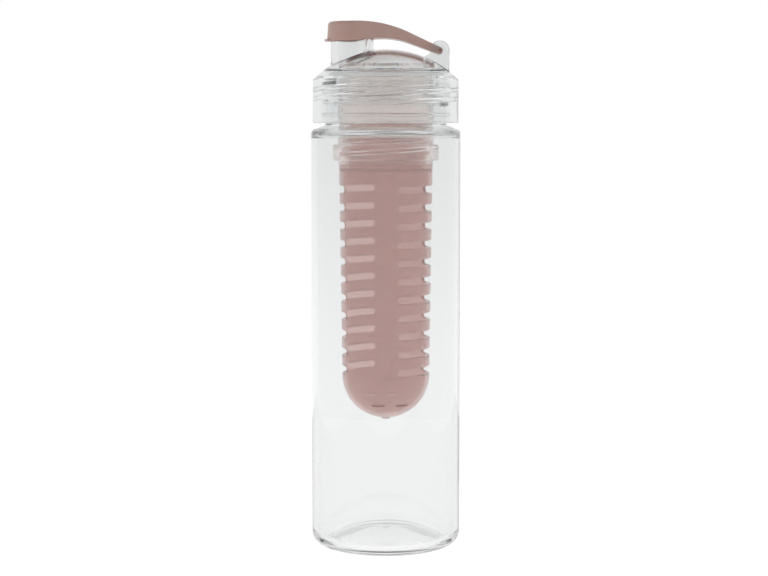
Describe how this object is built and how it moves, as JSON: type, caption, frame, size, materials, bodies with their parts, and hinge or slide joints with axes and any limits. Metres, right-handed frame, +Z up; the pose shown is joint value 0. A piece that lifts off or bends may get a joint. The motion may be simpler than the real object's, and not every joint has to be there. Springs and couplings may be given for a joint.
{
  "type": "fruit infuser water bottle",
  "caption": "Clear screw-top water bottle with a domed lid, flip cap over a drinking spout, and a slotted see-through infuser basket screwed into a collar under the lid.",
  "frame": {"origin": "centre of the base, on the plane that the bottle stands on", "axes": "+Z up along the bottle's axis, -X towards the spout, +X towards the flip cap's hinge"},
  "size_m": [0.073, 0.073, 0.2572],
  "materials": {
    "clear_body": "clear, polished",
    "clear_lid": "clear, polished",
    "milky_collar": "milky, see-through",
    "pink_clear": "dusty pink, see-through",
    "pink_cap": "dusty pink, satin",
    "pink_pin": "dark dusty pink",
    "silicone": "translucent silicone"
  },
  "bodies": {
    "bottle": {"bottle_body": "clear_body"},
    "lid_ring": {"lid_seal": "silicone"},
    "lid": {"screw_lid": "clear_lid", "collar_spigot": "clear_lid", "infuser_collar": "milky_collar"},
    "cap": {"flip_cap": "pink_cap", "spout_seal": "silicone", "hinge_pin": "pink_pin"},
    "basket_ring": {"basket_seal": "silicone"},
    "basket": {"infuser_basket": "pink_clear"}
  },
  "joints": [
    {"name": "lid_rise", "type": "slide", "parent": "bottle", "child": "lid_ring", "axis": [0, 0, 1], "range_m": [0, 0.0125]},
    {"name": "lid_turn", "type": "hinge", "parent": "lid_ring", "child": "lid", "pos_m": [0, 0, 0.22], "axis": [0, 0, 1], "range_deg": [0, 510]},
    {"name": "cap_flip", "type": "hinge", "parent": "lid", "child": "cap", "pos_m": [0.0261, 0, 0.24312], "axis": [0, 1, 0], "range_deg": [0, 170]},
    {"name": "basket_drop", "type": "slide", "parent": "lid", "child": "basket_ring", "axis": [0, 0, -1], "range_m": [0, 0.0091]},
    {"name": "basket_turn", "type": "hinge", "parent": "basket_ring", "child": "basket", "pos_m": [0, 0, 0.195], "axis": [0, 0, -1], "range_deg": [0, 370]}
  ],
  "couplings": [
    {"joint": "lid_rise", "follows": "lid_turn", "m_per_rad": 0.0014006},
    {"joint": "basket_drop", "follows": "basket_turn", "m_per_rad": 0.0014006}
  ]
}
